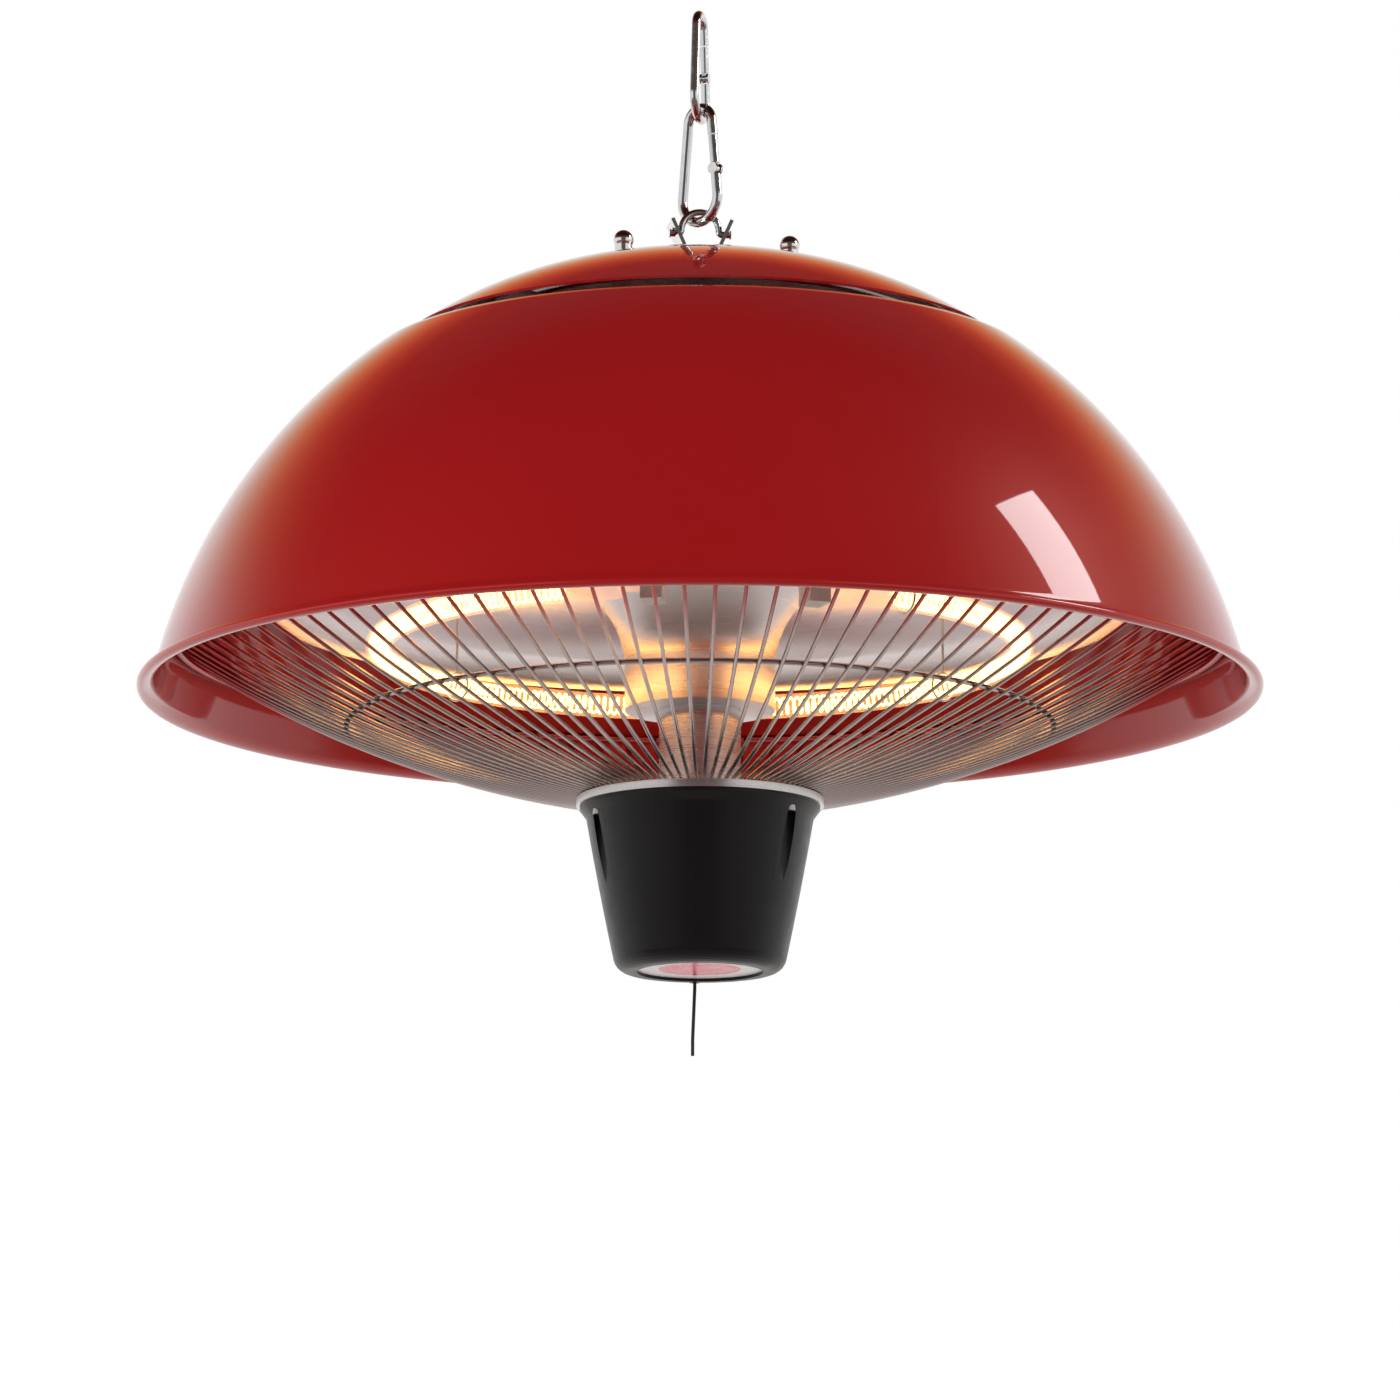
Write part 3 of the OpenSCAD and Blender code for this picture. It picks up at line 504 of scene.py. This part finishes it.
# The route of part.scad, in metres in the lamp's frame
CORD_ROUTE = (
    (-0.0020, 0.0270, -0.1000), (-0.0020, 0.0270, -0.1025), (-0.0020, 0.0270, -0.1050),
    (-0.0020, 0.0270, -0.1075), (-0.0020, 0.0270, -0.1100), (-0.0021, 0.0270, -0.1125),
    (-0.0022, 0.0270, -0.1150), (-0.0023, 0.0270, -0.1175), (-0.0024, 0.0269, -0.1200),
    (-0.0025, 0.0269, -0.1225), (-0.0026, 0.0269, -0.1250), (-0.0027, 0.0269, -0.1275),
    (-0.0028, 0.0268, -0.1300), (-0.0028, 0.0268, -0.1325), (-0.0028, 0.0268, -0.1360),
)
CORD_DIAMETER = 0.0013


def make_cord(makes):
    """The thin cord that hangs from the switch plunger through the bottom of the housing."""
    curve = bpy.data.curves.new("cord", "CURVE")
    curve.dimensions = "3D"
    curve.bevel_depth = CORD_DIAMETER / 2
    curve.bevel_resolution = 3
    curve.use_fill_caps = True
    spline = curve.splines.new("POLY")
    spline.points.add(len(CORD_ROUTE) - 1)
    for point, (x, y, z) in zip(spline.points, CORD_ROUTE):
        point.co = (x, y, datum_z + z, 1)
    cord = bpy.data.objects.new("cord", curve)
    bpy.context.scene.collection.objects.link(cord)
    own(cord, makes, "black_cord", "pull", "pull_cord")


# ---------- shade and cap ----------

# Points of a profile are (distance from the axis, height). The wall is one arc, whose centre
# lies just past the axis.
RIM_R = 213
SHADE_CENTRE = (RIM_R - 218.8, -47.8)
SHADE_CURVE_R = 218.7
SHADE_TOP_Z = RIM_LOW_Z + 129.2
SHEET_T = 1
FLARE_R = 5
# Degrees left free between the flare and the wall's inner arc, so that no points coincide
FLARE_GAP = 0.4
# Degrees between which the hem curls, and where it meets the wall, in hem radii in and up
HEM_START = 130
HEM_END = -80
HEM_NOTCH = (1.1, 0.35)

CROWN_Z = 165.5
CAP_R = 113.5
CAP_CURVE_R = 177
CAP_FLAT_R = 12
CAP_CENTRE = (CAP_FLAT_R, CROWN_Z - CAP_CURVE_R)
# Depth below the crown and height above it that every hole is cut through
DRILL_DOWN = 20
DRILL_UP = 10
# Degrees that the top's fittings are turned about the axis, and the first stud's own angle
TOP_TURN = 8
STUD_START = -150
STUD_COUNT = 3
STUD_RING_R = 36.9
STUD_HOLE_D = 5.4
SCREW_HOLE_D = 3.4
GLAND_PLACE = (28, 44)
GLAND_HOLE_D = 12.4


def make_shade(makes):
    """The round shade: its sheet flares out at the rim and rolls back in a hem."""
    inner_r = SHADE_CURVE_R - SHEET_T
    reach = inner_r + FLARE_R
    flare_z = RIM_LOW_Z + FLARE_R
    flare = (arc_x(SHADE_CENTRE, reach, flare_z), flare_z)
    flare_a = arc_angle(SHADE_CENTRE, reach, flare_z)
    hem_r = RIM_R - flare[0]
    hem_z = RIM_LOW_Z + hem_r
    top_a = arc_angle(SHADE_CENTRE, SHADE_CURVE_R, SHADE_TOP_Z)
    in_top_a = arc_angle(SHADE_CENTRE, inner_r, SHADE_TOP_Z)
    outside = arc(SHADE_CENTRE, SHADE_CURVE_R, top_a, flare_a, 64)
    notch = [(flare[0] - HEM_NOTCH[0] * hem_r, hem_z + HEM_NOTCH[1] * hem_r)]
    hem = arc((flare[0], hem_z), hem_r, HEM_START, HEM_END, 16)
    inside = arc(flare, FLARE_R, 270, 180 + flare_a, 12)
    inside += arc(SHADE_CENTRE, inner_r, flare_a + FLARE_GAP, in_top_a, 64)
    shell = lathe("shade_shell", outside + notch + hem + inside, 360)
    own(shell, makes, "red_enamel", LAMP, "shade")


def make_cap(makes):
    """The shallow cap, drilled for its three studs, the hanger screw and the cable gland."""
    drop = math.sqrt(CAP_CURVE_R ** 2 - (CAP_R - CAP_CENTRE[0]) ** 2)
    a = arc_angle(CAP_CENTRE, CAP_CURVE_R, CAP_CENTRE[1] + drop)
    outline = arc(CAP_CENTRE, CAP_CURVE_R, a, 90, 48) + [(0, CROWN_Z), (0, CROWN_Z - SHEET_T)]
    outline += arc(CAP_CENTRE, CAP_CURVE_R - SHEET_T, 90, a, 48)
    holes = [(0, 0, SCREW_HOLE_D), (*GLAND_PLACE, GLAND_HOLE_D)]
    for i in range(STUD_COUNT):
        turn = math.radians(TOP_TURN + STUD_START + i * 360 / STUD_COUNT)
        holes.append((STUD_RING_R * math.cos(turn), STUD_RING_R * math.sin(turn), STUD_HOLE_D))
    cap = lathe("cap_shell", outline)
    drill(cap, [(x, y, CROWN_Z - DRILL_DOWN, CROWN_Z + DRILL_UP, d) for x, y, d in holes])
    own(cap, makes, "red_enamel", LAMP, "cap")


# ---------- reflector ----------

REFLECTOR_T = 0.8
TRUMPET_R = 28.5
TRUMPET_BOTTOM_Z = -8
TRUMPET_BEND_R = 38
TRUMPET_BEND = (TRUMPET_R + TRUMPET_BEND_R, 8)
PAN_R = 165
PAN_BEND_R = 14
PAN_BEND = (PAN_R - PAN_BEND_R - REFLECTOR_T / 2, 27.5)
# Degrees between which the pan's edge bends down
PAN_BEND_START = 98
PAN_BEND_END = 12


def make_reflector(makes):
    """The spun reflector: a trumpet that opens into a shallow pan."""
    low, high = [], []
    for line, t in ((low, 0), (high, REFLECTOR_T)):
        line.append((TRUMPET_R - t, TRUMPET_BOTTOM_Z))
        line += arc(TRUMPET_BEND, TRUMPET_BEND_R + t, 180, 90, 40)
        line += arc(PAN_BEND, PAN_BEND_R + t, PAN_BEND_START, PAN_BEND_END, 24)
    shell = lathe("spun_reflector", low + high[::-1])
    own(shell, makes, "polished_aluminium", LAMP, "reflector")


# ---------- halogen ring ----------

LAMP_RING_R = 122
LAMP_Z = 16
# Degrees about the axis: the middle of the ring's gap, then from there to the coil and the glass
LAMP_TURN = 6
GLOW_START = 30
QUARTZ_START = 20
QUARTZ_R = 4.8
COIL_R = 3.25
COIL_WIRE_R = 0.5
COIL_TURNS = 230


def make_coil(makes):
    """The tungsten helix inside the quartz ring."""
    per_turn = 12
    steps = COIL_TURNS * per_turn
    points = []
    for i in range(steps + 1):
        around = LAMP_TURN + GLOW_START + i / steps * (360 - 2 * GLOW_START)
        a = 2 * math.pi * i / per_turn
        radius = LAMP_RING_R + COIL_R * math.cos(a)
        points.append(on_ring(radius, around, LAMP_Z + COIL_R * math.sin(a)))
    coil = tube("coil_helix", points, COIL_WIRE_R * MM, 6)
    own(coil, makes, "hot_filament", LAMP, "heating_coil")


def make_quartz(makes):
    """The clear tube, which runs from one flat pinched end, a part of tube_ends, to the other."""
    steps = 200
    points = []
    for i in range(steps + 1):
        around = LAMP_TURN + QUARTZ_START + i / steps * (360 - 2 * QUARTZ_START)
        points.append(on_ring(LAMP_RING_R, around, LAMP_Z))
    own(tube("quartz_tube", points, QUARTZ_R * MM, 32), makes, "quartz", LAMP, "quartz_ring")


# ---------- guard ----------

# Degrees about the axis from which the wires are counted
WIRES_START = 90
WIRE_COUNT = 100
WIRE_R = 0.75
GUARD_CURVE_R = 400
GUARD_IN = Vector((45, -41.25))
GUARD_OUT = Vector((197.5, 17.5))
GUARD_MID_R = 133.5
MID_WIRE_R = 1
OUTER_WIRE_R = 1.5
RING_STEPS = 240
# Depth that welded wires sink into each other
WELD = 0.1


def guard_arc():
    """The guard's centre of curvature, and its angles at the collar and at the outer ring."""
    chord = GUARD_OUT - GUARD_IN
    up = Vector((-chord.y, chord.x)).normalized()
    rise = math.sqrt(GUARD_CURVE_R ** 2 - (chord.length / 2) ** 2)
    centre = (GUARD_IN + GUARD_OUT) / 2 + up * rise
    angles = []
    for end in (GUARD_IN, GUARD_OUT):
        angles.append(math.degrees(math.atan2(end.y - centre.y, end.x - centre.x)))
    return centre, angles


def make_guard(makes):
    """Radial wires welded to an outer ring, with a thinner ring lying on them."""
    centre, (start, end) = guard_arc()
    profile = arc(centre, GUARD_CURVE_R, start, end, 28)
    bm = bmesh.new()
    for i in range(WIRE_COUNT):
        around = WIRES_START + 360 * (i + 0.5) / WIRE_COUNT
        wire = tube("wire", [on_ring(r, around, z) for r, z in profile], WIRE_R * MM, 10)
        bm.from_mesh(wire.data)
        bpy.data.objects.remove(wire)
    own(add_mesh("radial_wires", bm), makes, "guard_steel", LAMP, "guard_wires")
    mid_z = centre.y - math.sqrt(GUARD_CURVE_R ** 2 - (GUARD_MID_R - centre.x) ** 2)
    mid_z += WIRE_R + MID_WIRE_R - WELD
    outer_r = GUARD_OUT.x + OUTER_WIRE_R - WELD
    rings = (("mid_ring", GUARD_MID_R, mid_z, MID_WIRE_R, "guard_mid_ring"),
             ("outer_ring", outer_r, GUARD_OUT.y, OUTER_WIRE_R, "guard_outer_ring"))
    for name, radius, z, wire_r, node in rings:
        points = [on_ring(radius, 360 * i / RING_STEPS, z) for i in range(RING_STEPS)]
        own(tube(name, points, wire_r * MM, 16, True), makes, "guard_steel", LAMP, node)


# ---------- switch spring ----------

SWITCH_PLACE = (-2, 27)
SPRING_LOW, SPRING_HIGH = -91.5, -85
SPRING_COIL_R = 2.3
SPRING_WIRE_R = 0.25
SPRING_TURNS = 7


def make_spring(makes):
    """The compression spring under the plunger's head."""
    per_turn = 16
    steps = SPRING_TURNS * per_turn
    rise = SPRING_HIGH - SPRING_LOW - 2 * SPRING_WIRE_R
    points = []
    for i in range(steps + 1):
        a = 2 * math.pi * i / per_turn
        x = SWITCH_PLACE[0] + SPRING_COIL_R * math.cos(a)
        y = SWITCH_PLACE[1] + SPRING_COIL_R * math.sin(a)
        points.append(at(x, y, SPRING_LOW + SPRING_WIRE_R + rise * i / steps))
    spring = tube("spring_helix", points, SPRING_WIRE_R * MM, 8)
    own(spring, makes, "bright_steel", LAMP, "switch_spring")
    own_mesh(spring)


# ---------- studio ----------

def area_light(name, place, target, width, height, power, mirrored):
    """A soft box that faces a target. If it isn't mirrored, it lights without being reflected."""
    data = bpy.data.lights.new(name, "AREA")
    data.shape = "RECTANGLE"
    data.size = width
    data.size_y = height
    data.energy = power
    light = bpy.data.objects.new(name, data)
    light.visible_glossy = mirrored
    light.location = place
    light.rotation_euler = (target - place).to_track_quat("-Z", "Y").to_euler()
    bpy.context.scene.collection.objects.link(light)


# Colour of the surroundings by the height of a ray's direction, from 0, level, to 1, straight up:
# white low down, then a warm glow, then dark. Rays from the camera see plain white instead.
SKY = (
    (0.32, (1, 1, 1)), (0.38, (0.95, 0.93, 0.86)), (0.45, (0.9, 0.68, 0.48)),
    (0.53, (1, 0.36, 0.14)), (0.61, (0.85, 0.13, 0.05)), (0.7, (0.35, 0.04, 0.03)),
    (0.82, (0.12, 0.1, 0.1)),
)

# Brightness of the surroundings by a ray's direction, as the four numbers that ramp() takes
BACKDROP = (0.15, 0.85, 0.1, 1.0)    # by Y: dim in front of the lamp, bright behind it
PANEL_SIDE = (0.3, 0.55, 0.0, 1.0)   # by X, either way: a bright panel at each side
PANEL_TOP = (0.28, 0.4, 0.9, 0.0)    # by Z: where the panels end above

# The lights face a point on the lamp's axis at this height. Each has its offset from that point,
# its width and its height, all in metres, its power in watts, and whether it shows in mirrors.
LIT_Z = 50
LIGHTS = (
    ("key", (1.2, -0.1, 0.75), 0.3, 0.5, 5, True),
    ("left", (-2.0, -1.2, 0.7), 1.2, 1.2, 22, False),
    ("front", (0.5, -2.2, 0.3), 1.2, 1.2, 13, False),
)


def make_studio():
    """A white backdrop behind the lamp, a dim room in front and above, and soft boxes."""
    scene = bpy.context.scene
    scene.view_settings.view_transform = "Standard"
    world = bpy.data.worlds.new("studio")
    scene.world = world
    world.use_nodes = True
    nodes, links = world.node_tree.nodes, world.node_tree.links
    back = nodes["Background"]
    direction = nodes.new("ShaderNodeTexCoord").outputs["Generated"]
    axes = split_axes(nodes, links, direction)
    backdrop = ramp(nodes, links, axes["Y"], *BACKDROP)
    aside = combine(nodes, links, "ABSOLUTE", axes["X"])
    panels = combine(nodes, links, "MULTIPLY", ramp(nodes, links, aside, *PANEL_SIDE),
                     ramp(nodes, links, axes["Z"], *PANEL_TOP))
    level = combine(nodes, links, "MAXIMUM", backdrop, panels)
    sky = nodes.new("ShaderNodeValToRGB")
    stops = sky.color_ramp.elements
    while len(stops) < len(SKY):
        stops.new(1)
    for stop, (height, colour) in zip(stops, SKY):
        stop.position = height
        stop.color = (*colour, 1)
    links.new(axes["Z"], sky.inputs["Fac"])
    ray = nodes.new("ShaderNodeLightPath").outputs["Is Camera Ray"]
    strength = nodes.new("ShaderNodeMix")
    links.new(ray, strength.inputs["Factor"])
    links.new(level, strength.inputs["A"])
    strength.inputs["B"].default_value = 1.0
    links.new(strength.outputs["Result"], back.inputs["Strength"])
    colour = nodes.new("ShaderNodeMix")
    colour.data_type = "RGBA"
    links.new(ray, colour.inputs["Factor"])
    links.new(sky.outputs["Color"], colour.inputs["A"])
    colour.inputs["B"].default_value = (1, 1, 1, 1)
    links.new(colour.outputs["Result"], back.inputs["Color"])

    centre = at(0, 0, LIT_Z)
    for name, offset, *rest in LIGHTS:
        area_light(name, centre + Vector(offset), centre, *rest)


# The floor, in metres. It glows more towards the back, by the four numbers that ramp() takes,
# and at one even level for rays from the camera. From below it is clear, so it hides nothing.
FLOOR_Z = -2.3
FLOOR_REACH = 12
FLOOR_GLOW = (-1.5, 2.0, 0.0, 0.7)
FLOOR_SEEN_GLOW = 0.66


def make_floor():
    """The plain pale floor, far below the hanging lamp."""
    bm = bmesh.new()
    bmesh.ops.create_grid(bm, x_segments=1, y_segments=1, size=FLOOR_REACH)
    bmesh.ops.translate(bm, verts=bm.verts, vec=(0, 0, FLOOR_Z))
    floor = add_mesh("floor", bm)
    m = Material("floor", (0.86, 0.86, 0.85), 0.7, Emission_Color=(1, 1, 1, 1))
    m.vary_colour(m.noise(2), (0.84, 0.84, 0.835))
    glow = ramp(m.nodes, m.links, split_axes(m.nodes, m.links, m.place)["Y"], *FLOOR_GLOW)
    ray = m.nodes.new("ShaderNodeLightPath").outputs["Is Camera Ray"]
    level = m.nodes.new("ShaderNodeMix")
    m.links.new(ray, level.inputs["Factor"])
    m.links.new(glow, level.inputs["A"])
    level.inputs["B"].default_value = FLOOR_SEEN_GLOW
    m.links.new(level.outputs["Result"], m.shader.inputs["Emission Strength"])
    through = m.nodes.new("ShaderNodeBsdfTransparent")
    mix = m.nodes.new("ShaderNodeMixShader")
    side = m.nodes.new("ShaderNodeNewGeometry").outputs["Backfacing"]
    m.links.new(side, mix.inputs["Fac"])
    m.links.new(m.shader.outputs[0], mix.inputs[1])
    m.links.new(through.outputs[0], mix.inputs[2])
    m.links.new(mix.outputs[0], m.nodes["Material Output"].inputs["Surface"])
    floor.data.materials.append(m.material)


make_camera()
makes = dress()
make_cord(makes)
make_shade(makes)
make_cap(makes)
make_reflector(makes)
make_coil(makes)
make_quartz(makes)
make_guard(makes)
make_spring(makes)
make_studio()
make_floor()
